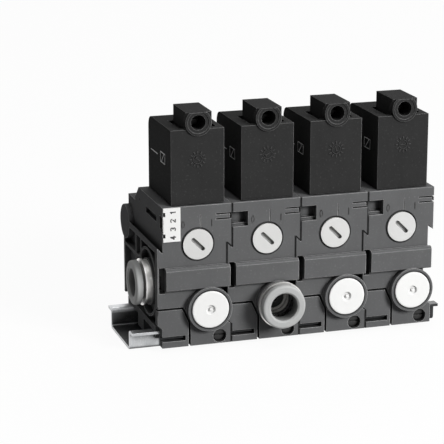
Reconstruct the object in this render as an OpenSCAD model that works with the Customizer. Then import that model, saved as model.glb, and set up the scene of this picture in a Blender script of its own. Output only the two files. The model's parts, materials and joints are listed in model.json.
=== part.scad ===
// Pneumatic solenoid valve block: four hooked 3/2-way modules on a top-hat rail.
// X runs along the rail, Y from the front to the back, Z up, all in millimetres.
// The origin is the centre of the rail's underside. Sizes along X and Y are counted from module 1's left
// joint plane and front plane.

/* [Module body] */
// Width of one module along the rail
module_pitch = 26; // [25.8:0.1:27]
// Depth of a module from its front plane to its back
body_depth = 46.8; // [46:0.1:50]
// Height of a module's top above the underside of the rail
body_top = 54; // [53.5:0.1:57]
// Height of the front skirt's lower edge
skirt_bottom = 2; // [1.5:0.1:3]
// How far the hook tooth reaches into the neighbouring module
hook_reach = 2; // [1.6:0.1:2.4]
// Height of the hook's notch
hook_z = 39.9; // [39:0.1:41]
// Thickness of the outer walls and side ribs
wall = 1.5; // [1.2:0.1:2]
// Thickness of the ribs in the side pocket
rib = 0.9; // [0.7:0.1:1.2]
// Depth of the side pocket
pocket_depth = 2.6; // [2:0.1:3]
// Gap between neighbouring modules
joint_gap = 0.25; // [0.05:0.05:0.3]

/* [Front face] */
// Height of the rail latch's upper edge
latch_top = 16.1; // [15:0.1:17]
// Width of the groove round the rail latch
latch_groove = 0.8; // [0.6:0.1:1]
// Lower edge of the front bar
bar_bottom = 23.6; // [23.4:0.1:24]
// Height of the front bar
bar_height = 8.2; // [7.5:0.1:9]
// How far the front bar stands proud
bar_proud = 2; // [1.5:0.1:2.5]
// Left end of the front bar
bar_x0 = 0.8; // [0.5:0.1:1.5]
// Width of the front bar
bar_width = 23.8; // [23:0.1:24.2]
// Width of the pillar under the port
pillar_width = 15.2; // [14.8:0.1:15.6]
// How far the pillar reaches past the joint line
pillar_reach = 1.7; // [1.5:0.1:1.9]
// Height of the pillar's right shoulder
pillar_shoulder = 10.4; // [9:0.1:11]

/* [Port and gallery] */
// Sideways place of the outlet port
port_x = 16.9; // [16.7:0.1:17.1]
// Height of the outlet port
port_z = 16; // [15.5:0.1:16.4]
// Radius of the outlet port's boss
boss_r = 8.2; // [8:0.1:8.4]
// How far the boss stands proud
boss_proud = 2.8; // [2.4:0.1:3.2]
// Radius of the cartridge bores for plugs and fittings
socket_r = 7.1; // [7:0.05:7.2]
// Depth of the cartridge bores
socket_depth = 7.5; // [7.5:0.1:7.8]
// Distance of the supply gallery behind the front plane
supply_y = 13.7; // [13:0.1:14.5]
// Height of the supply gallery
supply_z = 23.5; // [23:0.1:24]
// Radius of the supply gallery
gallery_r = 4; // [3:0.1:4.2]
// Distance of the exhaust gallery behind the front plane
exhaust_y = 45.2; // [44.5:0.1:46]
// Height of the exhaust gallery
exhaust_z = 37.9; // [37.5:0.1:38.2]
// Outer radius of the exhaust knuckle
knuckle_r = 6.5; // [6:0.1:7]
// Radius of the exhaust gallery
exhaust_r = 3.2; // [2.5:0.1:3.6]

/* [Push-in fitting] */
// Radius of the tube that fits in
tube_r = 5; // [4.8:0.05:5]
// Outer radius of the release collar
collar_r = 8.1; // [7.8:0.1:8.3]
// Thickness of the collar's flange
collar_flange = 2.4; // [2:0.1:2.8]
// Travel of the release collar
collar_travel = 0.9; // [0.6:0.1:1]
// Radius of the metal rim
rim_r = 8.5; // [8.3:0.1:8.7]
// Thickness of the metal rim
rim_t = 0.6; // [0.4:0.1:0.8]
// Length of the metal neck under the rim
neck_length = 2; // [1.8:0.1:2.2]

/* [Manual override] */
// Sideways place of the override
override_x = 13; // [12.6:0.1:13.4]
// Height of the override
override_z = 39.9; // [39.5:0.1:40.4]
// Radius of the override's disc
override_r = 5.55; // [5.4:0.05:5.7]
// Radius of the override's shaft
override_shaft_r = 2.5; // [2.2:0.1:2.6]
// Length of the screwdriver slot
slot_length = 6.4; // [5.5:0.1:7]
// Width of the screwdriver slot
slot_width = 1.5; // [1:0.1:1.8]

/* [Coil] */
// Width of the coil
coil_width = 19.6; // [19:0.1:20.4]
// Depth of the coil
coil_depth = 29.5; // [28.5:0.1:30]
// Height of the coil without its lug
coil_height = 27; // [26.5:0.1:28]
// Setback of the coil's front
coil_y = 1.5; // [1.2:0.1:2]
// Radius of the coil's rounded back edge
coil_round = 4; // [3:0.1:5]
// Width of the lug on top
lug_width = 9.5; // [9.2:0.1:10]
// Depth of the lug
lug_depth = 15.8; // [15:0.1:17]
// Height of the lug
lug_height = 5.9; // [5.6:0.1:6.2]
// Radius of the lug's front boss
lug_boss_r = 4.8; // [4.5:0.1:5]
// Radius of the screw hole in the lug
lug_hole_r = 2.7; // [2.5:0.1:2.8]

/* [Solenoid and valve stem] */
// Sideways place of the valve axis
valve_x = 13.5; // [13.4:0.1:13.6]
// Distance of the valve axis behind the front plane
valve_y = 16.5; // [16.4:0.1:16.8]
// Outer radius of the seat cartridge
cartridge_r = 7.45; // [7.3:0.05:7.45]
// Radius of the cartridge's bore
stem_bore_r = 4.5; // [4.3:0.1:4.7]
// Radius of the valve seat
seat_r = 3; // [2.8:0.1:3.2]
// Height of the supply seat's lower face
seat_z = 27.5; // [27.2:0.1:27.8]
// Stroke of the valve stem
stem_stroke = 2; // [1.5:0.1:2.2]
// Radius of the pilot channels
pilot_r = 0.7; // [0.5:0.1:0.8]
// Radius of the stem's rod
rod_r = 1.9; // [1.7:0.1:2]
// Outer radius of the armature tube
armature_tube_r = 4.5; // [4.3:0.1:4.6]
// Wall of the armature tube
tube_wall = 0.6; // [0.5:0.1:0.7]
// Length of the armature
armature_length = 12.3; // [12:0.1:12.6]
// Stroke of the armature
armature_stroke = 0.9; // [0.6:0.1:0.9]

/* [Rail] */
// Overall width of the rail
rail_width = 35; // [35:0.5:36]
// Width of the rail's web
rail_web = 27; // [26:0.5:27]
// Height of the rail
rail_height = 7.5; // [7.5:0.1:8]
// Thickness of the rail's sheet
rail_sheet = 1; // [0.8:0.1:1.2]
// Thickness of the body's skirt in front of the rail
skirt_t = 3.4; // [3.2:0.1:3.6]
// How far the rail stands out at the left
rail_left = 10.5; // [8:0.5:20]
// How far the rail stands out at the right
rail_right = 4.2; // [2:0.1:12]

/* [Hidden] */
$fn = 64;

stations = 4;
origin_x = (stations * module_pitch + rail_right - rail_left) / 2;
eps = 0.01;
// Running clearance of shafts and pistons, and clearance of parts that are pushed in
running = 0.05;
push_in = 0.05;
// Gap between a part and what it rests on
rest_gap = 0.1;

// Body
low_x0 = -hook_reach;
low_x1 = module_pitch - hook_reach - joint_gap;
up_x1 = module_pitch - joint_gap;
bar_top = bar_bottom + bar_height;
bar_chamfer = 0.8;
pillar_x1 = low_x1 + pillar_reach;
pillar_x0 = pillar_x1 - pillar_width;
shoulder_drop = 1.4;
latch_depth = 2.2;
latch_corner_x = 7.1;
latch_bend_z = 11;
latch_slot_rise = 2.3;
latch_slot_height = 1.9;
latch_rim = 1.1;
corner_pocket_x = port_x + 4.6;
corner_pocket_z = 19;
flange_under = rail_height - rail_sheet;
rail_flange = (rail_width - rail_web) / 2;
rail_gap = 0.1;
rail_y = skirt_t + rail_gap + rail_flange;
rear_foot_y = rail_y + rail_web + rail_flange + rail_gap;
rear_foot_t = 2.8;
jaw = 2.6;
jaw_top = flange_under - rail_gap;
foot_width = 3;
foot_depth = 7.5;
foot_y = 20;
foot_z = 2.75;
origin_y = rail_y + rail_web / 2;
rear_step_z = 10;
shelf_y = 36;
shelf_z = 50;
shelf_corner_z = 48;
shelf_corner_x = 3;
pocket_bottom = rail_height + 2;
pocket_top = hook_z - 2.7;
upper_ribs_y = [22, 28.9];
lower_ribs_y = [29, 37];
rib_levels = [17, 29];
gallery_ring_r = 12.7;

// Marker seat and latch tongue on the front
seat_width = 5.8;
seat_bottom = 45.1;
seat_height = 5.5;
seat_ledge = 0.9;
seat_depth = 3.6;
tongue_x = 19.8;
tongue_z = 48.8;
tongue_pitch = 1.85;
tongue_x1 = module_pitch - 0.5;
groove = 0.5;
groove_depth = 1.5;
bar_socket_depth = 6;
moulding_line = 0.25;
moulding_line_x = override_x + 1;

// Recesses high on the left side
side_slot_y = [7.7, 22.1];
side_slot_z = [47.1, 49.4];
side_dimple_y = 30.9;
side_dimple_z = 49.7;
side_dimple_r = 0.65;
side_groove_y = [44.5, 45.5];
side_groove_z = [41.8, 46.6];

// Rail clamp
clamp_x = 21.2;
clamp_z = 4.8;
clamp_hole_r = 2.5;
clamp_thread_r = 1.5;
clamp_head_r = 2.2;
clamp_head_t = 1;
clamp_seat_y = 2.6;
clamp_width = 5.4;

// Valve bore and its fittings
bore_r = cartridge_r + push_in;
bore_bottom = 12;
cartridge_z0 = bore_bottom + rest_gap;
tube_flange_z0 = 49.9;
cartridge_z1 = tube_flange_z0 - rest_gap;
spring_floor = bore_bottom + 1.5;
cross_r = 2;
seat_t = 1.5;
outlet_level = seat_z + seat_t + cross_r + 0.2;
upper_seat_z = outlet_level + cross_r + 0.3;
upper_seat_t = 1;
channel_r = 2;
channel_y = 6.5;
seal_r = 0.5;
seal_levels = [seat_z - 0.1, upper_seat_z + 1.4, exhaust_z + 4.4];
waist_r = cartridge_r - 1;

// Pilot channels: from the gallery up to the nozzle, and past the override to the piston
pilot_x = 6.8;
pilot_y = 10;
pilot_z = tube_flange_z0 + 1;
bypass_x = 19.2;
bypass_y = 6.3;
bypass_z = 48.4;
bypass_r = 0.5;

// Stem
poppet_r = stem_bore_r - 0.3;
poppet_hub_r = 1.3;
poppet_t = 2.2;
poppet_bottom = seat_z - rest_gap - poppet_t;
upper_poppet_bottom = upper_seat_z + upper_seat_t + stem_stroke + rest_gap;
shoulder_r = seat_r - 0.1;
shoulder_t = 1.2;
piston_z0 = 42;
piston_z1 = 47;
piston_r = stem_bore_r - running;
ring_section_r = 0.4;
ring_groove_r = piston_r - 2 * ring_section_r - 0.02;
ring_groove_z = 44;
ring_groove_h = 1;
rod_bottom = spring_floor + stem_stroke + 0.5;

// Solenoid
coil_z0 = body_top + 0.3;
tube_rise = 21.7;
winding_rise = 3.5;
coil_x0 = valve_x - coil_width / 2;
coil_z1 = coil_z0 + coil_height;
tube_bore_r = armature_tube_r - tube_wall;
armature_r = tube_bore_r - 0.08;
nozzle_top = 52.6;
chamber_floor_z = tube_flange_z0 + 2;
armature_z0 = nozzle_top + rest_gap;
armature_z1 = armature_z0 + armature_length;
core_z0 = armature_z1 + armature_stroke + rest_gap;
tube_top = coil_z0 + tube_rise;
armature_pocket_r = 2.1;
armature_pocket_depth = 7;
winding_r0 = armature_tube_r + 1;
winding_r1 = coil_width / 2 - 1.2;
winding_z0 = coil_z0 + winding_rise;
winding_z1 = tube_top - 1.5;
coil_back = coil_y + coil_depth;

// Plug socket in the coil's back, with its contact blades
coil_socket_width = 11;
coil_socket_height = 6;
coil_socket_rise = 8;
coil_socket_z = coil_z0 + coil_socket_rise;
coil_socket_floor = 0.9;
coil_socket_depth = coil_back - valve_y - winding_r1 - coil_socket_floor;
blade_pitch = 3.4;
blade_t = 0.8;
blade_height = 2.8;

// Lug and its screw
lug_x0 = valve_x + 0.8 - lug_width / 2;
lug_y0 = coil_y + 1.1;
lug_boss_z = coil_z1 + 2.4;
lug_top = coil_z1 + lug_height;
lug_channel_w = 2.1;
lug_channel_y = coil_y + 3;
lug_channel_depth = 1.2;
lug_ring_r = lug_boss_r - 0.9;
lug_ring_depth = 0.3;
screw_head_y = 9;
screw_head_t = 2;
screw_head_r = lug_hole_r - 0.25;
screw_r = 1.45;
screw_length = 6;
screw_tip_y = screw_head_y + screw_head_t + screw_length;

// Override
override_face = -0.5;
override_gap = 0.4;
override_disc_t = 2.1;
override_end_y = 7.2;
override_ring_r = 0.33;
override_ring_y = 4.6;
override_groove_r = override_shaft_r - 2 * override_ring_r - 0.02;

// Dimple in the middle of a port plug
dimple_r = 1.6;

// Push-in fitting, measured outwards from the face that it is pushed into
neck_r = 8;
body_bore_r = tube_r + 1.2;
tube_seat_r = tube_r + 0.1;
chamber_z = -4.5;
tube_stop_z = 0.5 - socket_depth;
rim_z1 = neck_length + rim_t;
collar_z0 = rim_z1 + collar_travel + 0.1;
collar_z1 = collar_z0 + collar_flange;
collet_z0 = -2.8;
collet_z1 = -0.4;
collet_slots = 8;
collet_slot_w = 0.6;
collar_tip_z = collet_z1 + collar_travel + 0.1;

// Springs
stem_spring_wire = 0.7;
stem_spring_r = 2.55;
stem_spring_turns = 5;
armature_spring_wire = 0.4;
armature_spring_r = 1.6;
armature_spring_turns = 6;
wire_sides = 6;
turn_steps = 12;

// Sleeve between two modules
coupler_x1 = module_pitch + low_x0 + socket_depth - rest_gap;

// Marker plate
marker_width = 6.3;
marker_bottom = 41.7;
marker_t = 0.8;
marker_x0 = 0.15;
marker_notch = 1.5;

module at_station(k) {
    translate([(k - 1) * module_pitch - origin_x, -origin_y, 0]) children();
}

// A cylinder along X, Y or Z between two places
module bar_x(y, z, r, x0, x1) {
    translate([x0, y, z]) rotate([0, 90, 0]) cylinder(r = r, h = x1 - x0);
}
module bar_y(x, z, r, y0, y1) {
    translate([x, y0, z]) rotate([-90, 0, 0]) cylinder(r = r, h = y1 - y0);
}
module bar_z(x, y, r, z0, z1) {
    translate([x, y, z0]) cylinder(r = r, h = z1 - z0);
}

// A block between two corners
module block(x0, x1, y0, y1, z0, z1) {
    translate([x0, y0, z0]) cube([x1 - x0, y1 - y0, z1 - z0]);
}

// A profile drawn in Y and Z, extruded along X
module along_x(x0, x1) {
    translate([x0, 0, 0]) rotate([90, 0, 90]) linear_extrude(x1 - x0) children();
}

// A profile drawn in X and Z, extruded along Y
module along_y(y0, y1) {
    translate([0, y1, 0]) rotate([90, 0, 0]) linear_extrude(y1 - y0) children();
}

// A sealing ring round the Z axis
module ring(r, section_r) {
    rotate_extrude() translate([r, 0]) circle(r = section_r, $fn = 24);
}

// A coil spring round the Z axis, with its turns from z0 to z1
module coil_spring(r, wire, turns, z0, z1) {
    rings = turns * turn_steps;
    rise = (z1 - z0 - wire) / rings;
    function wire_point(i, j) =
        let (turn = 360 * i / turn_steps, side = 360 * j / wire_sides, reach = r + wire / 2 * cos(side))
        [reach * cos(turn), reach * sin(turn), z0 + wire / 2 + i * rise + wire / 2 * sin(side)];
    points = [for (i = [0:rings]) for (j = [0:wire_sides - 1]) wire_point(i, j)];
    skin = [for (i = [0:rings - 1]) for (j = [0:wire_sides - 1])
        let (a = i * wire_sides + j, b = i * wire_sides + (j + 1) % wire_sides)
        [a, a + wire_sides, b + wire_sides, b]];
    first = [for (j = [0:wire_sides - 1]) j];
    last = [for (j = [wire_sides - 1:-1:0]) rings * wire_sides + j];
    polyhedron(points, concat([first, last], skin), convexity = 8);
}

// Front outline of a body: the hook tooth on its left, the hook notch on its right
module hook_outline() {
    polygon([
        [low_x0, rail_height], [low_x1, rail_height], [low_x1, hook_z],
        [up_x1, hook_z - hook_reach], [up_x1, body_top], [0, body_top],
        [0, hook_z - hook_reach - 2 * joint_gap], [low_x0, hook_z - 2 * joint_gap]
    ]);
}

module body_block() {
    difference() {
        along_y(0, body_depth) hook_outline();
        // The sloping shelf at the back of the top
        along_x(-eps, module_pitch) polygon([
            [shelf_y - (body_top - shelf_z), body_top + eps], [shelf_y, shelf_z],
            [body_depth + eps, shelf_z], [body_depth + eps, body_top + eps]
        ]);
        along_y(shelf_y + 1, body_depth + eps) polygon([
            [-eps, shelf_corner_z], [shelf_corner_x, shelf_corner_z],
            [shelf_corner_x + shelf_z - shelf_corner_z, shelf_z + eps], [-eps, shelf_z + eps]
        ]);
        block(low_x0 - eps, module_pitch, rear_foot_y + rear_foot_t, body_depth + eps,
            rail_height - eps, rear_step_z);
    }
    // The knuckle of the exhaust gallery, hooked like the rest
    intersection() {
        bar_x(exhaust_y, exhaust_z, knuckle_r, low_x0, up_x1);
        along_y(0, body_depth + knuckle_r) hook_outline();
    }
}

// The skirt with its shoulder, and the jaws that reach round the rail
module rail_seat() {
    along_y(0, skirt_t) polygon([
        [low_x0, skirt_bottom], [pillar_x1, skirt_bottom], [pillar_x1, pillar_shoulder - shoulder_drop],
        [low_x1, pillar_shoulder], [low_x0, pillar_shoulder]
    ]);
    block(low_x0, pillar_x0, skirt_t - eps, skirt_t + jaw, jaw_top - wall, jaw_top);
    block(low_x0, low_x1, rear_foot_y, rear_foot_y + rear_foot_t, skirt_bottom + wall, rear_step_z + eps);
    block(low_x0, low_x1, rear_foot_y - jaw, rear_foot_y + eps, jaw_top - wall, jaw_top);
    for (x = [low_x0, low_x1 - foot_width])
        block(x, x + foot_width, foot_y, foot_y + foot_depth, foot_z, rail_height + eps);
}

module front_bar() {
    along_x(bar_x0, bar_x0 + bar_width) polygon([
        [wall, bar_bottom], [bar_chamfer / 2 - bar_proud, bar_bottom],
        [-bar_proud, bar_bottom + bar_chamfer / 2], [-bar_proud, bar_top - bar_chamfer],
        [bar_chamfer - bar_proud, bar_top], [wall, bar_top]
    ]);
}

module port_boss() {
    bar_y(port_x, port_z, boss_r, -boss_proud, wall);
}

// What a boss and a bar give way to where they reach past their neighbour's front
module neighbour_front() {
    block(low_x1, module_pitch + boss_r, -joint_gap, body_depth, pillar_shoulder, bar_top + eps);
}

// The grooves round the rail latch, its screwdriver slot, and the corner under the neighbour's shoulder
module rail_latch() {
    top = latch_top + latch_groove;
    latch_x1 = pillar_x0 - latch_groove;
    slot_z = skirt_bottom + latch_slot_rise;
    along_y(-eps, latch_depth) polygon([
        [low_x0 - eps, top], [latch_corner_x + 2 / 3 * latch_groove, top], [pillar_x0, latch_bend_z + eps],
        [pillar_x0, 0], [latch_x1, 0], [latch_x1, latch_bend_z],
        [latch_corner_x, latch_top], [low_x0 - eps, latch_top]
    ]);
    block(low_x0 - eps, latch_x1 - latch_rim, -eps, skirt_t + eps, slot_z, slot_z + latch_slot_height);
    along_y(-eps, skirt_t + joint_gap) polygon([
        [low_x0 - eps, 0], [low_x0 + pillar_reach, 0],
        [low_x0 + pillar_reach, pillar_shoulder - shoulder_drop + joint_gap],
        [low_x0 - eps, pillar_shoulder + joint_gap]
    ]);
    block(corner_pocket_x, low_x1 + eps, -eps, skirt_t, corner_pocket_z, bar_bottom);
}

// The cored left side, with its ribs and the rings round the supply port
module side_pocket() {
    difference() {
        block(low_x0 - eps, low_x0 + pocket_depth, 2 * wall, body_depth - wall, pocket_bottom, pocket_top);
        for (y = upper_ribs_y) block(low_x0 - 1, 2, y, y + rib, supply_z, pocket_top + 1);
        for (z = rib_levels) block(low_x0 - 1, 2, supply_y, body_depth, z, z + rib);
        for (y = lower_ribs_y) block(low_x0 - 1, 2, y, y + rib, pocket_bottom - 1, rib_levels[0] + eps);
        bar_x(supply_y, supply_z, socket_r + wall, low_x0 - 1, 2);
        difference() {
            bar_x(supply_y, supply_z, gallery_ring_r, low_x0 - 1, 2);
            bar_x(supply_y, supply_z, gallery_ring_r - rib, low_x0 - 2, 3);
        }
        bar_x(exhaust_y, exhaust_z, knuckle_r, low_x0 - 1, 2);
    }
}

module front_recesses() {
    // Pocket for the marker clip with a ledge along its bottom, and the latch tongue between its two grooves
    block(-eps, seat_width, -eps, seat_depth, seat_bottom + seat_ledge, seat_bottom + seat_height);
    block(-eps, seat_width, -eps, seat_depth / 2, seat_bottom, seat_bottom + seat_height);
    for (z = [tongue_z - groove, tongue_z - groove + tongue_pitch])
        block(tongue_x, module_pitch, -eps, groove_depth, z, z + groove);
    block(tongue_x1 - groove, tongue_x1, -eps, groove_depth, tongue_z - eps, tongue_z + tongue_pitch);
    // The moulding line above the override
    block(moulding_line_x, moulding_line_x + moulding_line, -eps, moulding_line,
        override_z + override_r + 2 * moulding_line, tongue_z + tongue_pitch);
    // The socket left of the bar
    block(low_x0 + 0.6, bar_x0 - eps, -eps, bar_socket_depth, bar_bottom - 1.1, bar_top + 0.3);
    // Override recess
    bar_y(override_x, override_z, override_r + override_gap, -eps, override_face + override_disc_t + rest_gap);
}

module side_recesses() {
    block(-eps, wall, side_slot_y[0], side_slot_y[1], side_slot_z[0], side_slot_z[1]);
    bar_x(side_dimple_y, side_dimple_z, side_dimple_r, -eps, wall);
    block(-eps, wall, side_groove_y[0], side_groove_y[1], side_groove_z[0], side_groove_z[1]);
}

module air_ways() {
    bar_z(valve_x, valve_y, bore_r, bore_bottom, body_top + 1);
    bar_y(override_x, override_z, override_shaft_r + running, 0, override_end_y + 0.4);
    // Outlet: from the port up to the chamber above the seat
    bar_y(port_x, port_z, socket_r, -boss_proud - 1, socket_depth - boss_proud);
    bar_y(port_x, port_z, channel_r, 1, channel_y);
    bar_z(port_x, channel_y, channel_r, port_z, outlet_level);
    bar_y(port_x, outlet_level, channel_r, channel_y, valve_y - 2);
    // Supply gallery with a socket at both ends
    bar_x(supply_y, supply_z, gallery_r, 0, low_x1 - 1);
    bar_x(supply_y, supply_z, socket_r, low_x0 - 1, low_x0 + socket_depth);
    bar_x(supply_y, supply_z, socket_r, low_x1 - 2, low_x1 + 1);
    // Pilot channels
    bar_z(pilot_x, pilot_y, pilot_r, supply_z, pilot_z);
    bar_x(pilot_y, pilot_z, pilot_r, pilot_x, valve_x - 2);
    bar_y(pilot_x, override_z, bypass_r, bypass_y, pilot_y);
    bar_x(bypass_y, override_z, bypass_r, pilot_x, bypass_x);
    bar_z(bypass_x, bypass_y, bypass_r, override_z, bypass_z);
    bar_y(bypass_x, bypass_z, bypass_r, bypass_y, valve_y - 3);
    // Exhaust gallery
    bar_y(valve_x, exhaust_z, cross_r, valve_y + 2, exhaust_y);
    bar_x(exhaust_y, exhaust_z, exhaust_r, low_x0 - 1, module_pitch + 1);
    // Rail clamp screw
    bar_y(clamp_x, clamp_z, clamp_hole_r, -1, clamp_seat_y);
    bar_y(clamp_x, clamp_z, clamp_thread_r, 0, skirt_t + 1);
}

module body() {
    color([0.33, 0.33, 0.34]) difference() {
        union() {
            difference() {
                union() {
                    body_block();
                    rail_seat();
                }
                side_pocket();
                rail_latch();
            }
            difference() {
                union() {
                    front_bar();
                    port_boss();
                }
                neighbour_front();
            }
        }
        front_recesses();
        side_recesses();
        air_ways();
    }
}

// The moulded coil with its rounded back edge and its lug
module coil() {
    color([0.13, 0.13, 0.14]) difference() {
        union() {
            along_x(coil_x0, coil_x0 + coil_width) union() {
                translate([coil_y, coil_z0]) square([coil_depth, coil_height - coil_round]);
                translate([coil_y, coil_z0]) square([coil_depth - coil_round, coil_height]);
                translate([coil_y + coil_depth - coil_round, coil_z1 - coil_round]) circle(r = coil_round);
            }
            block(lug_x0, lug_x0 + lug_width, lug_y0, lug_y0 + lug_depth, coil_z1 - 2, lug_top);
            intersection() {
                bar_y(valve_x + 0.2, lug_boss_z, lug_boss_r, coil_y - 0.6, lug_y0 + 1);
                block(coil_x0, coil_x0 + coil_width, 0, lug_y0 + 1, coil_z0, lug_top);
            }
        }
        // The channels on both sides of the lug
        for (x = [lug_x0 - lug_channel_w, lug_x0 + lug_width]) block(x, x + lug_channel_w, lug_channel_y,
            lug_y0 + lug_depth, coil_z1 - lug_channel_depth, coil_z1 + 1);
        // The step round the boss's mouth
        bar_y(valve_x + 0.2, lug_boss_z, lug_ring_r, 0, coil_y - 0.6 + lug_ring_depth);
        bar_y(valve_x + 0.2, lug_boss_z, lug_hole_r, 0, screw_head_y + screw_head_t);
        bar_y(valve_x + 0.2, lug_boss_z, screw_r + push_in, screw_head_y, screw_tip_y + 0.5);
        bar_z(valve_x, valve_y, armature_tube_r + 0.1, coil_z0 - 1, tube_top + 0.3);
        difference() {
            bar_z(valve_x, valve_y, winding_r1 + push_in, winding_z0 - push_in, winding_z1 + push_in);
            bar_z(valve_x, valve_y, winding_r0 - push_in, winding_z0 - 1, winding_z1 + 1);
        }
        // The plug socket and the slots of its blades
        block(valve_x - coil_socket_width / 2, valve_x + coil_socket_width / 2, coil_back - coil_socket_depth,
            coil_back + 1, coil_socket_z, coil_socket_z + coil_socket_height);
        contact_blades(push_in, winding_r1 - 1);
    }
}

// Three contact blades, grown by a clearance on all sides, from a distance behind the valve axis
module contact_blades(clearance, start) {
    blade_z = coil_socket_z + (coil_socket_height - blade_height) / 2;
    for (side = [-1, 0, 1]) translate([side * blade_pitch, 0, 0]) block(
        valve_x - blade_t / 2 - clearance, valve_x + blade_t / 2 + clearance, valve_y + start, coil_back - 1,
        blade_z - clearance, blade_z + blade_height + clearance
    );
}

module coil_terminals() {
    color("gold") for (k = [1:stations]) at_station(k) contact_blades(0, winding_r1 + 2 * push_in);
}

module windings() {
    color([0.72, 0.42, 0.2]) for (k = [1:stations]) at_station(k) difference() {
        bar_z(valve_x, valve_y, winding_r1, winding_z0, winding_z1);
        bar_z(valve_x, valve_y, winding_r0, winding_z0 - 1, winding_z1 + 1);
    }
}

// The armature tube with its flange, its pilot nozzle and the fixed core in its top
module armature_tube() {
    color("silver") translate([valve_x, valve_y, 0]) difference() {
        union() {
            translate([0, 0, tube_flange_z0]) cylinder(r = cartridge_r, h = body_top - tube_flange_z0);
            translate([0, 0, tube_flange_z0]) cylinder(r = armature_tube_r, h = tube_top - tube_flange_z0);
        }
        difference() {
            translate([0, 0, chamber_floor_z]) cylinder(r = tube_bore_r, h = core_z0 - chamber_floor_z);
            translate([0, 0, tube_flange_z0]) cylinder(r = 1.2, h = nozzle_top - tube_flange_z0);
        }
        // The nozzle's feed from the groove round the flange, and the way down to the piston
        translate([0, 0, pilot_z]) cylinder(r = 0.4, h = nozzle_top - pilot_z + 1);
        translate([0, 0, pilot_z]) rotate([90, 0, 0]) cylinder(r = 0.4, h = cartridge_r + 1);
        translate([0, 0, pilot_z - pilot_r]) difference() {
            cylinder(r = cartridge_r + 1, h = 2 * pilot_r);
            translate([0, 0, -1]) cylinder(r = waist_r, h = 2 * pilot_r + 2);
        }
        translate([2.6, 0, tube_flange_z0 - 1]) cylinder(r = bypass_r, h = 4);
    }
}

module armature() {
    color("lightsteelblue") translate([valve_x, valve_y, armature_z0]) difference() {
        cylinder(r = armature_r, h = armature_length);
        translate([0, 0, armature_length - armature_pocket_depth])
            cylinder(r = armature_pocket_r, h = armature_pocket_depth + 1);
    }
}

module armature_spring() {
    color("silver") translate([valve_x, valve_y, 0]) coil_spring(
        armature_spring_r, armature_spring_wire, armature_spring_turns,
        armature_z1 - armature_pocket_depth + rest_gap, core_z0 - rest_gap
    );
}

// A groove round the cartridge, from its middle's height and half its width
module waist(z, half) {
    difference() {
        bar_z(valve_x, valve_y, cartridge_r + 1, z - half, z + half);
        bar_z(valve_x, valve_y, waist_r, z - half - 1, z + half + 1);
    }
}

// The seat cartridge: a sleeve with a supply seat, an exhaust seat and a port at each level
module cartridge() {
    color("goldenrod") difference() {
        bar_z(valve_x, valve_y, cartridge_r, cartridge_z0, cartridge_z1);
        bar_z(valve_x, valve_y, stem_bore_r, spring_floor, seat_z);
        bar_z(valve_x, valve_y, seat_r, seat_z - 1, cartridge_z1);
        bar_z(valve_x, valve_y, stem_bore_r, seat_z + seat_t, upper_seat_z);
        bar_z(valve_x, valve_y, stem_bore_r, upper_seat_z + upper_seat_t, cartridge_z1 + 1);
        bar_x(valve_y, supply_z, cross_r, valve_x - cartridge_r - 1, valve_x + cartridge_r + 1);
        bar_y(valve_x, outlet_level, cross_r, valve_y - cartridge_r - 1, valve_y);
        bar_y(valve_x, exhaust_z, cross_r, valve_y, valve_y + cartridge_r + 1);
        bar_y(valve_x, bypass_z, bypass_r, valve_y - cartridge_r - 1, valve_y);
        for (z = [supply_z, outlet_level, exhaust_z]) waist(z, cross_r + 0.2);
        for (z = seal_levels) waist(z, 1.2 * seal_r);
        waist(bypass_z, bypass_r + 0.2);
    }
}

module stem() {
    color("silver") translate([valve_x, valve_y, 0]) difference() {
        union() {
            translate([0, 0, piston_z0]) cylinder(r = piston_r, h = piston_z1 - piston_z0);
            translate([0, 0, rod_bottom]) cylinder(r = rod_r, h = piston_z1 - rod_bottom - 1);
            translate([0, 0, poppet_bottom - shoulder_t]) cylinder(r = shoulder_r, h = shoulder_t);
            translate([0, 0, upper_poppet_bottom + poppet_t]) cylinder(r = shoulder_r, h = shoulder_t);
        }
        translate([0, 0, ring_groove_z]) ring_groove(piston_r, ring_groove_r, ring_groove_h);
        for (z = [poppet_bottom, upper_poppet_bottom])
            translate([0, 0, z]) ring_groove(rod_r, poppet_hub_r, poppet_t);
    }
}

// What is cut away for a groove between two radii
module ring_groove(outer_r, inner_r, height) {
    difference() {
        cylinder(r = outer_r + 1, h = height);
        translate([0, 0, -1]) cylinder(r = inner_r, h = height + 2);
    }
}

// The piston's ring and the two rubber poppets that snap into the stem's grooves
module stem_seals() {
    color([0.1, 0.1, 0.1]) translate([valve_x, valve_y, 0]) {
        translate([0, 0, ring_groove_z + ring_groove_h / 2]) ring(piston_r - ring_section_r - 0.01, ring_section_r);
        for (z = [poppet_bottom, upper_poppet_bottom]) translate([0, 0, z]) difference() {
            cylinder(r = poppet_r, h = poppet_t);
            translate([0, 0, -1]) cylinder(r = poppet_hub_r, h = poppet_t + 2);
        }
    }
}

module stem_spring() {
    color("silver") translate([valve_x, valve_y, 0]) coil_spring(
        stem_spring_r, stem_spring_wire, stem_spring_turns,
        spring_floor + rest_gap, poppet_bottom - shoulder_t - rest_gap
    );
}

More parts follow.
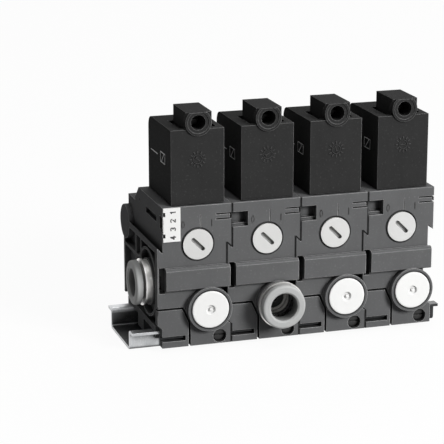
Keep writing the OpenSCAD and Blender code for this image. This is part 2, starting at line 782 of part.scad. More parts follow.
// The manual override: a slotted disc on a shaft, turned from 0 to 1 with a screwdriver
module override() {
    color([0.85, 0.85, 0.85]) translate([override_x, 0, override_z]) rotate([-90, 0, 0]) difference() {
        union() {
            translate([0, 0, override_face]) cylinder(r = override_r, h = override_disc_t);
            translate([0, 0, override_face + 1]) cylinder(r = override_shaft_r, h = override_end_y - override_face - 1);
        }
        translate([0, 0, override_face - 1]) rotate(45) linear_extrude(2.2) {
            square([slot_length - slot_width, slot_width], center = true);
            for (side = [-1, 1]) translate([side * (slot_length - slot_width) / 2, 0]) circle(r = slot_width / 2);
        }
        translate([0, 0, override_ring_y]) ring_groove(override_shaft_r, override_groove_r, 2.4 * override_ring_r);
        // The bypass hole, upright at 0 and level at 1
        translate([0, -override_shaft_r - 1, bypass_y]) rotate([-90, 0, 0])
            cylinder(r = bypass_r, h = 2 * override_shaft_r + 2);
    }
}

// The rings of the override's shaft and of the cartridge
module body_seals() {
    color([0.1, 0.1, 0.1]) for (k = [1:stations]) at_station(k) {
        translate([override_x, override_ring_y + 1.2 * override_ring_r, override_z]) rotate([-90, 0, 0])
            ring(override_shaft_r - override_ring_r - 0.01 + running / 2, override_ring_r);
        for (z = seal_levels) translate([valve_x, valve_y, z]) ring(waist_r + seal_r + 0.01, seal_r);
    }
}

// A cheese-head screw along Z: its head ends at z = 0 and its shank points up
module slotted_screw(head_r, head_t, shank_r, shank_length) {
    difference() {
        union() {
            translate([0, 0, -head_t]) cylinder(r = head_r, h = head_t);
            translate([0, 0, -eps]) cylinder(r = shank_r, h = shank_length);
        }
        translate([-head_r, -0.35, -head_t - eps]) cube([2 * head_r, 0.7, head_t / 2]);
    }
}

module coil_screws() {
    color("silver") for (k = [1:stations]) at_station(k)
        translate([valve_x + 0.2, screw_head_y + screw_head_t, lug_boss_z]) rotate([-90, 0, 0])
            slotted_screw(screw_head_r, screw_head_t, screw_r, screw_length);
}

module clamp_screws() {
    color("silver") for (k = [1:stations]) at_station(k)
        translate([clamp_x, clamp_seat_y, clamp_z]) rotate([-90, 0, 0])
            slotted_screw(clamp_head_r, clamp_head_t, clamp_thread_r - push_in, rail_y - rest_gap - clamp_seat_y);
}

module rail_clamps() {
    color("lightgray") for (k = [1:stations]) at_station(k) difference() {
        block(clamp_x - clamp_width / 2, clamp_x + clamp_width / 2, skirt_t + 0.3, rail_y - 0.3,
            clamp_z - 2.2, flange_under - rail_gap);
        bar_y(clamp_x, clamp_z, clamp_thread_r, 0, rail_y + 1);
    }
}

// Sleeves that carry the supply from each module to the next
module gallery_couplers() {
    color("goldenrod") for (k = [1:stations - 1]) at_station(k) difference() {
        bar_x(supply_y, supply_z, socket_r - push_in, low_x1 - 2 + rest_gap, coupler_x1);
        bar_x(supply_y, supply_z, gallery_r, low_x1 - 3, coupler_x1 + 1);
        bar_x(supply_y, supply_z, socket_r - 1, low_x1 + 1, coupler_x1 - 2);
    }
}

// The plug of the supply gallery's right end and the plug of the exhaust gallery's left end
module end_plugs() {
    color([0.33, 0.33, 0.34]) {
        at_station(stations) difference() {
            bar_x(supply_y, supply_z, socket_r - push_in, low_x1 - 2 + rest_gap, low_x1);
            bar_x(supply_y, supply_z, 1.5, low_x1 - 0.8, low_x1 + 1);
        }
        at_station(1) bar_x(exhaust_y, exhaust_z, exhaust_r - push_in, low_x0, low_x0 + 3.5);
    }
}

module exhaust_silencer() {
    color("goldenrod") at_station(stations)
        bar_x(exhaust_y, exhaust_z, exhaust_r - push_in, low_x1 - 3, up_x1);
}

// A white blanking plug with a centre dimple and pip
module port_plug() {
    color([0.93, 0.93, 0.93]) translate([port_x, -boss_proud, port_z]) rotate([-90, 0, 0]) difference() {
        union() {
            translate([0, 0, -0.1]) cylinder(r = socket_r - 0.1, h = socket_depth - 0.4);
            translate([0, 0, -0.4]) cylinder(r1 = socket_r - 0.4, r2 = socket_r - 0.1, h = 0.3);
        }
        translate([0, 0, -1]) difference() {
            cylinder(r = dimple_r, h = 1.2);
            cylinder(r = dimple_r / 3, h = 2);
        }
        translate([0, 0, socket_depth - 4]) cylinder(r = socket_r - wall, h = 5);
    }
}

// The metal body of a push-in fitting, along Z with its mouth up
module fitting_body() {
    difference() {
        union() {
            translate([0, 0, -socket_depth + rest_gap]) cylinder(r = socket_r - push_in, h = socket_depth);
            cylinder(r = neck_r, h = neck_length + eps);
            translate([0, 0, neck_length]) cylinder(r = rim_r, h = rim_t);
        }
        translate([0, 0, chamber_z]) cylinder(r = body_bore_r, h = rim_z1 - chamber_z + 1);
        translate([0, 0, tube_stop_z]) cylinder(r = tube_seat_r, h = chamber_z - tube_stop_z + 1);
        translate([0, 0, -socket_depth - 1]) cylinder(r = gallery_r, h = socket_depth);
    }
}

// The collet ring with its slots and the tube's sealing ring behind it
module collet_ring() {
    difference() {
        translate([0, 0, collet_z0]) cylinder(r = body_bore_r - push_in, h = collet_z1 - collet_z0);
        translate([0, 0, collet_z0 - 1]) cylinder(r = tube_seat_r + 0.1, h = 4);
        for (i = [0:collet_slots - 1]) rotate(360 * i / collet_slots)
            translate([0, -collet_slot_w / 2, collet_z1 - 1.4]) cube([body_bore_r + 1, collet_slot_w, 3]);
    }
    translate([0, 0, (chamber_z + collet_z0) / 2]) ring((body_bore_r + tube_seat_r) / 2, 0.5);
}

// The release collar: a flange on a sleeve that runs in the fitting's body
module release_collar() {
    translate([0, 0, collar_tip_z]) difference() {
        cylinder(r = body_bore_r - running, h = collar_z0 - collar_tip_z + 0.1);
        translate([0, 0, -1]) cylinder(r = tube_seat_r, h = collar_z1 - collar_tip_z + 2);
    }
    translate([0, 0, collar_z0]) rotate_extrude() polygon([
        [tube_seat_r, 0], [collar_r, 0], [collar_r, collar_flange - 0.7], [collar_r - 0.2, collar_flange - 0.25],
        [collar_r - 0.7, collar_flange], [tube_seat_r + 0.6, collar_flange], [tube_seat_r, collar_flange - 0.5]
    ]);
}

module at_outlet() {
    at_station(2) translate([port_x, -boss_proud, port_z]) rotate([90, 0, 0]) children();
}
module at_supply() {
    at_station(1) translate([low_x0, supply_y, supply_z]) rotate([0, -90, 0]) children();
}

module marker_plate() {
    color("white") at_station(1) difference() {
        union() {
            block(marker_x0, marker_x0 + marker_width, -marker_t, 0, marker_bottom, body_top);
            block(marker_x0 + 0.3, seat_width - 0.3, -eps, seat_depth / 2 - 0.2,
                seat_bottom + 0.3, seat_bottom + seat_height - 0.3);
        }
        for (z = [marker_bottom + marker_notch, body_top - 2 * marker_notch])
            block(-eps, 0.9, -marker_t - eps, eps, z, z + marker_notch);
    }
}

// Half of the rail's section, from its middle outwards
module rail_half() {
    bend = 1.6;
    half_web = rail_web / 2;
    top_x = half_web - rail_sheet + bend;
    square([half_web - bend, rail_sheet]);
    translate([half_web - bend, bend]) intersection() {
        difference() {
            circle(r = bend);
            circle(r = bend - rail_sheet);
        }
        translate([0, -bend]) square(bend);
    }
    translate([half_web - rail_sheet, bend]) square([rail_sheet, rail_height - 2 * bend]);
    translate([top_x, rail_height - bend]) intersection() {
        difference() {
            circle(r = bend);
            circle(r = bend - rail_sheet);
        }
        translate([-bend, 0]) square(bend);
    }
    translate([top_x, rail_height - rail_sheet]) square([rail_width / 2 - top_x, rail_sheet]);
}

module din_rail() {
    color("silver") at_station(1) along_x(-rail_left, stations * module_pitch + rail_right)
        translate([rail_y + rail_web / 2, 0]) for (side = [0, 1]) mirror([side, 0]) rail_half();
}

for (k = [1:stations]) {
    at_station(k) coil();
    at_station(k) armature_tube();
    at_station(k) armature();
    at_station(k) armature_spring();
    at_station(k) body();
    at_station(k) override();
    at_station(k) cartridge();
    at_station(k) stem();
    at_station(k) stem_seals();
    at_station(k) stem_spring();
}
windings();
coil_terminals();
coil_screws();
body_seals();
clamp_screws();
rail_clamps();
gallery_couplers();
end_plugs();
exhaust_silencer();
at_station(1) port_plug();  // port_plug_1
at_station(3) port_plug();  // port_plug_3
at_station(4) port_plug();  // port_plug_4
color("gainsboro") at_outlet() fitting_body();  // outlet_fitting
color("silver") at_outlet() collet_ring();  // outlet_collet
color([0.7, 0.7, 0.7]) at_outlet() release_collar();  // outlet_collar
color("gainsboro") at_supply() fitting_body();  // supply_fitting
color("silver") at_supply() collet_ring();  // supply_collet
color([0.7, 0.7, 0.7]) at_supply() release_collar();  // supply_collar
marker_plate();
din_rail();
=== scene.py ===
"""Looks of a pneumatic solenoid valve block: four hooked modules on a top-hat rail.

The CAD nodes get their materials here. The numbers, date clocks, coil signs, plug faces, working springs and
the exhaust gallery's cap are added. Lengths are in millimetres unless a docstring says metres.
"""

from __future__ import annotations

import json
import logging
import math
from dataclasses import dataclass
from enum import Enum
from typing import Any, Sequence

import bmesh
import bpy
from mathutils import Matrix, Vector

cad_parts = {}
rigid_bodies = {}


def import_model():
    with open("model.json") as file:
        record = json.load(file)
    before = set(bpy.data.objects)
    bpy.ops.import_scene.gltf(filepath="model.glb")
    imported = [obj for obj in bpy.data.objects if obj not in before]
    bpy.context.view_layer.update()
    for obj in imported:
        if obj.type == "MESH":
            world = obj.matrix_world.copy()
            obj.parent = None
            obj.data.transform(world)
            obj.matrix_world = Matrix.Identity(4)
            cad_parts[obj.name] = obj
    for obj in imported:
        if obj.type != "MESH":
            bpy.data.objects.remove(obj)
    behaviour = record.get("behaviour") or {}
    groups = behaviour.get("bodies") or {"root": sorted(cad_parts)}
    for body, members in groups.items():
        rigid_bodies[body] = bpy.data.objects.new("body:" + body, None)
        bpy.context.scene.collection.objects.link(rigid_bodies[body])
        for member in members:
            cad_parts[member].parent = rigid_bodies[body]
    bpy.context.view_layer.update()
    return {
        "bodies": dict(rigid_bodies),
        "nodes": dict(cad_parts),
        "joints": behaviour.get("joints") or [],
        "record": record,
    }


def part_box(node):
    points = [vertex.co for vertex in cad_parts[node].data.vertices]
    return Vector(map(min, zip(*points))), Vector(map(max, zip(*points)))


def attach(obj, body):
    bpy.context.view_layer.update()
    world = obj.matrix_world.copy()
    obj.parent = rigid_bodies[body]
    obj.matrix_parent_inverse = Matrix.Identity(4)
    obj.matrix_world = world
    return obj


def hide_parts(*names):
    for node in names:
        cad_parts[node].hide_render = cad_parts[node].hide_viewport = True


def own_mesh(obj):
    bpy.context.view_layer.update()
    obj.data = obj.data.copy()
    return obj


Triple = tuple[float, float, float]
Colour = Triple
Settings = dict[str, Any]
Inputs = dict[Any, Any]

LOG = logging.getLogger("valve_block")
MM = 0.001
STATIONS = (1, 2, 3, 4)
PLUGGED = (1, 3, 4)
PITCH = 26.0
FIRST_JOINT = -48.85
ARMATURE_LIFT = 0.9
STEM_STROKE = 2.0
BLOCK = "block"
EVEN: Triple = (1.0, 1.0, 1.0)
RIGHT = Vector((1.0, 0.0, 0.0))
FORWARD = Vector((0.0, -1.0, 0.0))
UP = Vector((0.0, 0.0, 1.0))


def grey(level: float) -> Colour:
    """Return a neutral colour of that linear level."""
    return (level, level, level)


def scaled(colour: Colour, factor: float) -> Colour:
    """Return a colour times a factor, with no channel over 1."""
    return tuple(min(1.0, channel * factor) for channel in colour)


class Axis(Enum):
    """An axis of the shared frame."""

    X = "X"
    Y = "Y"
    Z = "Z"


class Slot(Enum):
    """A material slot of the record that added pieces take."""

    HOUSING = "housing"
    COIL = "coil"
    WHITE = "white_plastic"
    STEEL = "steel"
    RUBBER = "rubber"


class Port(Enum):
    """A port with a push-in fitting, as its CAD nodes are named."""

    OUTLET = "outlet"
    SUPPLY = "supply"


class Value:
    """A shader's socket, whose maths is written as Python expressions."""

    def __init__(self, shader: Shader, socket: bpy.types.NodeSocket) -> None:
        """Wrap one output socket of a shader's node."""
        self.shader = shader
        self.socket = socket

    def _math(self, operation: str, first: Value | float, second: Value | float) -> Value:
        """Return the result of a Math node on two values."""
        return self.shader.value("ShaderNodeMath", {"operation": operation}, {0: first, 1: second})

    def __add__(self, other: Value | float) -> Value:
        """Return self + other."""
        return self._math("ADD", self, other)

    __radd__ = __add__

    def __sub__(self, other: Value | float) -> Value:
        """Return self - other."""
        return self._math("SUBTRACT", self, other)

    def __rsub__(self, other: float) -> Value:
        """Return other - self."""
        return self._math("SUBTRACT", other, self)

    def __mul__(self, other: Value | float) -> Value:
        """Return self * other."""
        return self._math("MULTIPLY", self, other)

    __rmul__ = __mul__

    def __pow__(self, exponent: Value | float) -> Value:
        """Return self to the power of the exponent."""
        return self._math("POWER", self, exponent)

    def __rpow__(self, base: float) -> Value:
        """Return the base to the power of self."""
        return self._math("POWER", base, self)

    def off_grid(self, step: float) -> Value:
        """Return the distance to the nearest multiple of a step."""
        return self._math("PINGPONG", self, step / 2)

    def above(self, level: float, width: float) -> Value:
        """Return 0 under a level, 1 a width above it, and a straight rise between them."""
        span = {"Value": self, "From Min": level, "From Max": level + width}
        return self.shader.value("ShaderNodeMapRange", {"clamp": True}, span)


class Shader:
    """A material or a world under construction, in the object's own coordinates."""

    def __init__(self, owner: bpy.types.Material | bpy.types.World) -> None:
        """Start an empty node tree.

        Args:
            owner: The material or world that holds it.
        """
        self.owner = owner
        owner.use_nodes = True
        self.tree = owner.node_tree
        self.tree.nodes.clear()

    @classmethod
    def of_material(cls, name: str) -> Shader:
        """Start a new material of that name."""
        return cls(bpy.data.materials.new(name))

    def add(
        self, kind: str, settings: Settings | None = None, inputs: Inputs | None = None
    ) -> bpy.types.Node:
        """Add any node.

        Args:
            kind: The node's type.
            settings: Its properties, which are set first.
            inputs: Values or links by socket name or number.

        Returns:
            The node.
        """
        node = self.tree.nodes.new(kind)
        for key, setting in (settings or {}).items():
            setattr(node, key, setting)
        for key, value in (inputs or {}).items():
            socket = node.inputs[key]
            if isinstance(value, Value):
                self.tree.links.new(value.socket, socket)
            else:
                socket.default_value = (*value, 1.0) if socket.type == "RGBA" else value
        return node

    def value(
        self, kind: str, settings: Settings | None = None, inputs: Inputs | None = None, output: str | int = 0
    ) -> Value:
        """Add any node and return one of its outputs."""
        return Value(self, self.add(kind, settings, inputs).outputs[output])

    def place(self, stretch: Triple = EVEN) -> Value:
        """Return the object's coordinates in millimetres.

        Args:
            stretch: How much longer a pattern on them gets along X, Y and Z.

        Returns:
            The coordinates.
        """
        here = self.value("ShaderNodeTexCoord", output="Object")
        scale = tuple(1.0 / (MM * s) for s in stretch)
        return self.value("ShaderNodeVectorMath", {"operation": "MULTIPLY"}, {0: here, 1: scale})

    def along(self, axis: Axis) -> Value:
        """Return the coordinate along an axis, in millimetres."""
        return self.value("ShaderNodeSeparateXYZ", inputs={0: self.place()}, output=axis.value)

    def noise(self, size: float, detail: float = 2.0, stretch: Triple = EVEN) -> Value:
        """Return soft noise.

        Args:
            size: Width of a blotch in millimetres.
            detail: Number of finer layers.
            stretch: How much longer the blotches are along X, Y and Z.

        Returns:
            The noise, from 0 to 1.
        """
        inputs = {"Vector": self.place(stretch), "Scale": 1.0 / size, "Detail": detail}
        return self.value("ShaderNodeTexNoise", {"noise_dimensions": "3D"}, inputs)

    def cells(self, size: float) -> Value:
        """Return the distance to the middles of cells of that width in millimetres."""
        inputs = {"Vector": self.place(), "Scale": 1.0 / size}
        return self.value("ShaderNodeTexVoronoi", {"feature": "F1"}, inputs, "Distance")

    def blend(self, factor: Value | float, low: Value | Colour, high: Value | Colour) -> Value:
        """Return a colour between two colours."""
        return self.value("ShaderNodeMix", {"data_type": "RGBA"}, {0: factor, 6: low, 7: high}, 2)

    def rounded(self, radius: float) -> Value:
        """Return the surface's normal with its edges rounded by a radius in millimetres."""
        return self.value("ShaderNodeBevel", {"samples": 6}, {"Radius": radius * MM}, "Normal")

    def edges(self, rounded: Value, least: float = 0.01, rise: float = 0.12) -> Value:
        """Return where the edges are.

        Args:
            rounded: The rounded normal.
            least: How far it has turned from the flat normal where an edge begins.
            rise: How much further it has turned on a full edge.

        Returns:
            1 along edges and 0 on faces.
        """
        flat = self.value("ShaderNodeNewGeometry", output="Normal")
        dot = {"operation": "DOT_PRODUCT"}
        likeness = self.value("ShaderNodeVectorMath", dot, {0: rounded, 1: flat}, "Value")
        return (1.0 - likeness).above(least, rise)

    def occlusion_shade(self, reach: float, start: float, width: float = 0.45, alone: bool = False) -> Value:
        """Return a mask for painted shade: how deep a place lies in a hollow, by ambient occlusion.

        Args:
            reach: How far away a wall still counts, in millimetres.
            start: The hidden share of the surroundings at which the painted shade begins.
            width: The rise of that share to full painted shade.
            alone: Whether only the piece's own walls count.

        Returns:
            0 in the open and 1 deep in a hollow, where the shade is painted darkest.
        """
        settings = {"samples": 8, "only_local": alone}
        open_share = self.value("ShaderNodeAmbientOcclusion", settings, {"Distance": reach * MM}, "AO")
        return (1.0 - open_share).above(start, width)

    def facing(self, axis: Axis, sign: float = 1.0, least: float = 0.6, rise: float = 0.3) -> Value:
        """Return which faces look along an axis.

        Args:
            axis: The axis.
            sign: -1 for the faces that look against it.
            least: The part of the normal along it at which the mask begins.
            rise: The rise of that part to a full mask.

        Returns:
            1 on those faces and 0 on the others.
        """
        flat = self.value("ShaderNodeNewGeometry", output="Normal")
        part = self.value("ShaderNodeSeparateXYZ", inputs={0: flat}, output=axis.value)
        return (part * sign).above(least, rise)

    def seen(self) -> Value:
        """Return where the camera looks.

        Returns:
            1 for the camera's own rays and those by way of metal or glass, and 0 for scattered light.
        """
        rays = self.add("ShaderNodeLightPath").outputs
        direct, mirrored = Value(self, rays["Is Camera Ray"]), Value(self, rays["Is Glossy Ray"])
        return (direct + mirrored + Value(self, rays["Is Transmission Ray"])).above(0.0, 1.0)

    def bump(self, height: Value, depth: float, normal: Value | None = None) -> Value:
        """Return the normal of an uneven surface.

        Args:
            height: The height of its places, from 0 to 1.
            depth: The step from 0 to 1, in millimetres.
            normal: The normal without it, where that isn't the surface's own.

        Returns:
            The normal.
        """
        inputs: Inputs = {"Strength": 1.0, "Distance": depth * MM, "Height": height}
        if normal is not None:
            inputs["Normal"] = normal
        return self.value("ShaderNodeBump", inputs=inputs, output="Normal")

    def close(self, sockets: Inputs) -> bpy.types.Material:
        """End the material in one Principled shader.

        Args:
            sockets: The shader's sockets by name.

        Returns:
            The material.
        """
        surface = self.value("ShaderNodeBsdfPrincipled", inputs=sockets, output="BSDF")
        self.add("ShaderNodeOutputMaterial", inputs={"Surface": surface})
        return self.owner


@dataclass(frozen=True)
class GapShadeLines:
    """Painted shade on the modules' fronts: dark lines along the hooked joints' gaps and round the plugs and
    overrides.

    Places across are measured from each module's joint plane, and heights from the rail. A joint runs down
    to the foot of its notch, slants up to the left as far as the notch's top, and runs down again to the
    shoulder and along the pillar under it. Each ring is given by its middle and its radius. The lines lie
    only on faces behind the given front, and none is drawn at the block's two ends.
    """

    width: float = 0.33
    edge: float = 0.14
    step: float = 0.1
    front: float = -21.7
    end_margin: float = 5.0
    upper_x: float = -0.125
    lower_x: float = -2.125
    pillar_x: float = -0.425
    notch: tuple[float, float] = (37.8, 39.8)
    shoulder: tuple[float, float] = (9.1, 10.3)
    rings: tuple[Triple, ...] = ((16.9, 16.0, 7.3), (13.0, 39.9, 6.15))

    def _distance(self, across: Value, x: float) -> Value:
        """Return the distance from a place that repeats in every module."""
        return (across - (FIRST_JOINT + x)).off_grid(PITCH)

    def _line(self, across: Value, x: float) -> Value:
        """Return 1 on the line at that place and 0 beside it."""
        return 1.0 - self._distance(across, x).above(self.width, self.edge)

    def mask(self, shader: Shader) -> Value:
        """Draw the lines.

        Args:
            shader: The material that they are drawn in.

        Returns:
            1 on the lines and 0 beside them.
        """
        across, up = shader.along(Axis.X), shader.along(Axis.Z)
        above_notch = up.above(self.notch[0], self.step)
        under_tooth = 1.0 - up.above(self.notch[1], self.step)
        above_shoulder = up.above(self.shoulder[1], self.step)
        under_shoulder = 1.0 - up.above(self.shoulder[0], self.step)
        slant = self._line(across + up, self.upper_x + self.notch[0])
        lines = self._line(across, self.upper_x) * above_notch
        lines = lines + slant * above_notch * under_tooth
        lines = lines + self._line(across, self.lower_x) * under_tooth * above_shoulder
        lines = lines + self._line(across, self.pillar_x) * under_shoulder
        right_of_end = across.above(FIRST_JOINT + self.end_margin, 1.0)
        left_of_end = 1.0 - across.above(-FIRST_JOINT, 1.0)
        lines = lines * right_of_end * left_of_end * shader.along(Axis.Y).above(self.front, 2 * self.step)
        for x, z, radius in self.rings:
            away = (self._distance(across, x) ** 2.0 + (up - z) ** 2.0) ** 0.5
            outside, beyond = away.above(radius - self.width, self.edge), away.above(radius, self.edge)
            lines = lines + outside * (1.0 - beyond)
        return lines.above(0.0, 1.0) * shader.facing(Axis.Y, -1.0)


@dataclass(frozen=True)
class MouldedPlastic:
    """Injection-moulded plastic with a fine grain, flow clouds, dust specks, painted shade in its hollows,
    and pale edges that are partly wear and partly painted highlight.
    """

    name: str
    colour: Colour
    wear_and_highlight: Colour
    roughness: float
    grain: float = 0.22
    depth: float = 0.012
    clouds: float = 0.14
    cloud_size: float = 9.0
    flow_size: float = 2.4
    flow_stretch: Triple = (1.0, 1.0, 5.0)
    dust_size: float = 0.7
    dust_share: float = 0.12
    gloss: float = 0.4
    round_off: float = 0.3
    wear_highlight_least: float = 0.3
    wear_highlight_share: float = 0.6
    shade_strength: float = 0.85
    shade_reach: float = 2.4
    shade_start: float = 0.25
    shade_factor: float = 0.2
    line_share: float = 0.9
    lines: GapShadeLines | None = None

    def build(self) -> bpy.types.Material:
        """Build the material.

        Returns:
            The material.
        """
        shader = Shader.of_material(self.name)
        rounded = shader.rounded(self.round_off)
        edge = shader.edges(rounded)
        cloud = shader.noise(self.cloud_size, 3.0)
        flow = shader.noise(self.flow_size, 2.0, self.flow_stretch)
        grain = shader.noise(self.grain, 1.0)
        dust = shader.noise(self.dust_size, 4.0).above(0.6, 0.15)
        dark, light = scaled(self.colour, 1.0 - self.clouds), scaled(self.colour, 1.0 + self.clouds)
        # Painted shade: the colour darkens in hollows by ambient occlusion, where shade falls.
        shade_colour = scaled(self.colour, self.shade_factor)
        occlusion_shade = shader.occlusion_shade(self.shade_reach, self.shade_start)
        base = shader.blend(cloud * 0.6 + flow * 0.4, dark, light)
        base = shader.blend(dust * self.dust_share, base, self.wear_and_highlight)
        # The rounded edges take the pale tone: partly wear, partly a painted highlight.
        base = shader.blend(edge * (cloud * self.wear_highlight_share + self.wear_highlight_least), base, self.wear_and_highlight)
        base = shader.blend(occlusion_shade * self.shade_strength, base, shade_colour)
        # Painted shade: dark lines along the joints' gaps and round the plugs and overrides.
        if self.lines:
            base = shader.blend(self.lines.mask(shader) * self.line_share, base, shade_colour)
        return shader.close({
            "Base Color": base,
            "Roughness": cloud * 0.12 + flow * 0.08 + (self.roughness - 0.1) - edge * 0.08,
            "Specular IOR Level": self.gloss,
            "Normal": shader.bump(grain * 0.7 + flow * 0.3, self.depth, rounded),
        })


@dataclass(frozen=True)
class ChannelShade:
    """Deep shade on the rail: on its channel's floor, along its walls and behind the housings.

    The floor's height is measured from the rail's foot.
    """

    floor: float = 1.5
    reach: float = 14.0
    start: float = 0.14
    width: float = 0.25
    share: float = 0.9
    covered_x: float = FIRST_JOINT + 0.2
    covered_share: float = 0.95
    fade: float = 0.5

    def over(self, shader: Shader, base: Value, shade_colour: Colour) -> Value:
        """Lay the shade over a colour.

        Args:
            shader: The rail's material.
            base: The colour.
            shade_colour: The shade's colour.

        Returns:
            The shaded colour.
        """
        low = 1.0 - shader.along(Axis.Z).above(self.floor, self.fade)
        walls = shader.occlusion_shade(self.reach, self.start, self.width, alone=True)
        covered = shader.along(Axis.X).above(self.covered_x, self.fade)
        base = shader.blend(low * shader.facing(Axis.Z) * self.share, base, shade_colour)
        base = shader.blend(walls * self.share, base, shade_colour)
        return shader.blend(covered * self.covered_share, base, shade_colour)


@dataclass(frozen=True)
class PlatedMetal:
    """Zinc- or nickel-plated metal with rolling streaks, dull patches, brighter edges and painted shade in
    its hollows.
    """

    name: str
    colour: Colour
    dull: Colour
    roughness: float
    streak: Triple = (30.0, 1.0, 1.0)
    streak_size: float = 0.5
    patch_size: float = 4.0
    spot_size: float = 0.5
    depth: float = 0.006
    patches: float = 0.5
    shade_strength: float = 0.8
    shade_reach: float = 2.0
    shade_start: float = 0.25
    shade_factor: float = 0.1
    own_walls: bool = False
    round_off: float = 0.12
    channel: ChannelShade | None = None

    def build(self) -> bpy.types.Material:
        """Build the material.

        Returns:
            The material.
        """
        shader = Shader.of_material(self.name)
        rounded = shader.rounded(self.round_off)
        edge = shader.edges(rounded)
        streaks = shader.noise(self.streak_size, 3.0, self.streak)
        patch = shader.noise(self.patch_size, 4.0).above(0.42, 0.25)
        spots = shader.noise(self.spot_size, 3.0).above(0.64, 0.08)
        # Painted shade: the colour darkens in hollows and bores by ambient occlusion, and on the rail in its
        # channel and under the housings.
        shade_colour = scaled(self.dull, self.shade_factor)
        occlusion_shade = shader.occlusion_shade(self.shade_reach, self.shade_start, alone=self.own_walls)
        base = shader.blend(streaks * 0.5 + patch * (0.5 * self.patches), self.colour, self.dull)
        base = shader.blend(spots * 0.3, base, self.dull)
        base = shader.blend(edge * 0.6, base, self.colour)
        base = shader.blend(occlusion_shade * self.shade_strength, base, shade_colour)
        if self.channel:
            base = self.channel.over(shader, base, shade_colour)
        roughness = streaks * 0.14 + patch * (0.16 * self.patches) + spots * 0.1 + (self.roughness - 0.1)
        return shader.close({
            "Base Color": base, "Metallic": 1.0, "Roughness": roughness,
            "Normal": shader.bump(streaks * 0.8 + spots * 0.2, self.depth, rounded),
        })


@dataclass(frozen=True)
class TurnedMetal:
    """Metal turned on a lathe, with fine rings along a vertical axis."""

    name: str
    colour: Colour
    roughness: float
    pitch: float = 0.16
    spread: float = 40.0
    haze_size: float = 3.0
    shade: float = 0.78
    depth: float = 0.008
    round_off: float = 0.1

    def build(self) -> bpy.types.Material:
        """Build the material.

        Returns:
            The material.
        """
        shader = Shader.of_material(self.name)
        rounded = shader.rounded(self.round_off)
        rings = shader.noise(self.pitch, 2.0, (self.spread, self.spread, 1.0))
        haze = shader.noise(self.haze_size, 3.0)
        base = shader.blend(rings * 0.6 + haze * 0.4, scaled(self.colour, self.shade), self.colour)
        return shader.close({
            "Base Color": base, "Metallic": 1.0,
            "Roughness": rings * 0.1 + haze * 0.1 + (self.roughness - 0.08),
            "Normal": shader.bump(rings, self.depth, rounded),
        })


@dataclass(frozen=True)
class SealRubber:
    """Nitrile rubber with a faint bloom."""

    name: str
    colour: Colour = grey(0.012)
    bloomed: Colour = grey(0.035)
    bloom_size: float = 1.2
    grain: float = 0.15
    depth: float = 0.01

    def build(self) -> bpy.types.Material:
        """Build the material.

        Returns:
            The material.
        """
        shader = Shader.of_material(self.name)
        bloom = shader.noise(self.bloom_size, 4.0)
        return shader.close({
            "Base Color": shader.blend(bloom, self.colour, self.bloomed), "Roughness": bloom * 0.2 + 0.5,
            "Normal": shader.bump(shader.noise(self.grain, 1.0), self.depth),
        })


@dataclass(frozen=True)
class WoundWire:
    """Lacquered copper wire in close turns round a vertical axis, darker between the turns as painted shade.
    """

    name: str
    gap_shade: Colour = (0.2, 0.06, 0.02)
    wire_colour: Colour = (0.72, 0.3, 0.12)
    pitch: float = 0.3
    haze_size: float = 2.0
    depth: float = 0.1

    def build(self) -> bpy.types.Material:
        """Build the material.

        Returns:
            The material.
        """
        shader = Shader.of_material(self.name)
        bands = {"wave_type": "BANDS", "bands_direction": "Z"}
        inputs = {"Vector": shader.place(), "Scale": 0.314 / self.pitch, "Distortion": 0.3, "Detail": 1.0}
        turns = shader.value("ShaderNodeTexWave", bands, inputs, "Fac")
        haze = shader.noise(self.haze_size, 2.0)
        # Painted shade between the turns of wire.
        return shader.close({
            "Base Color": shader.blend(turns * 0.7 + haze * 0.3, self.gap_shade, self.wire_colour),
            "Metallic": 0.9, "Roughness": haze * 0.15 + 0.28, "Normal": shader.bump(turns, self.depth),
        })


@dataclass(frozen=True)
class SinteredBronze:
    """Pressed and sintered bronze balls with open pores, which are painted dark as the shade in them."""

    name: str
    ball_colour: Colour = (0.42, 0.28, 0.12)
    pore_shade: Colour = (0.1, 0.06, 0.03)
    ball_size: float = 0.45
    depth: float = 0.15

    def build(self) -> bpy.types.Material:
        """Build the material.

        Returns:
            The material.
        """
        shader = Shader.of_material(self.name)
        balls = shader.cells(self.ball_size)
        # The pores are painted dark as the shade that falls in them.
        return shader.close({
            "Base Color": shader.blend(balls.above(0.2, 0.5), self.ball_colour, self.pore_shade),
            "Metallic": 0.9, "Roughness": balls * 0.2 + 0.4, "Normal": shader.bump(1.0 - balls, self.depth),
        })


@dataclass(frozen=True)
class Ink:
    """Printing ink that is slightly broken at its edges."""

    name: str
    colour: Colour
    bare: Colour
    gap_size: float = 0.12
    haze_size: float = 1.5
    depth: float = 0.01

    def build(self) -> bpy.types.Material:
        """Build the material.

        Returns:
            The material.
        """
        shader = Shader.of_material(self.name)
        gaps = shader.noise(self.gap_size, 3.0).above(0.66, 0.08)
        haze = shader.noise(self.haze_size, 2.0)
        return shader.close({
            "Base Color": shader.blend(gaps * 0.5 + haze * 0.1, self.colour, self.bare),
            "Roughness": haze * 0.2 + 0.4, "Normal": shader.bump(gaps, self.depth),
        })


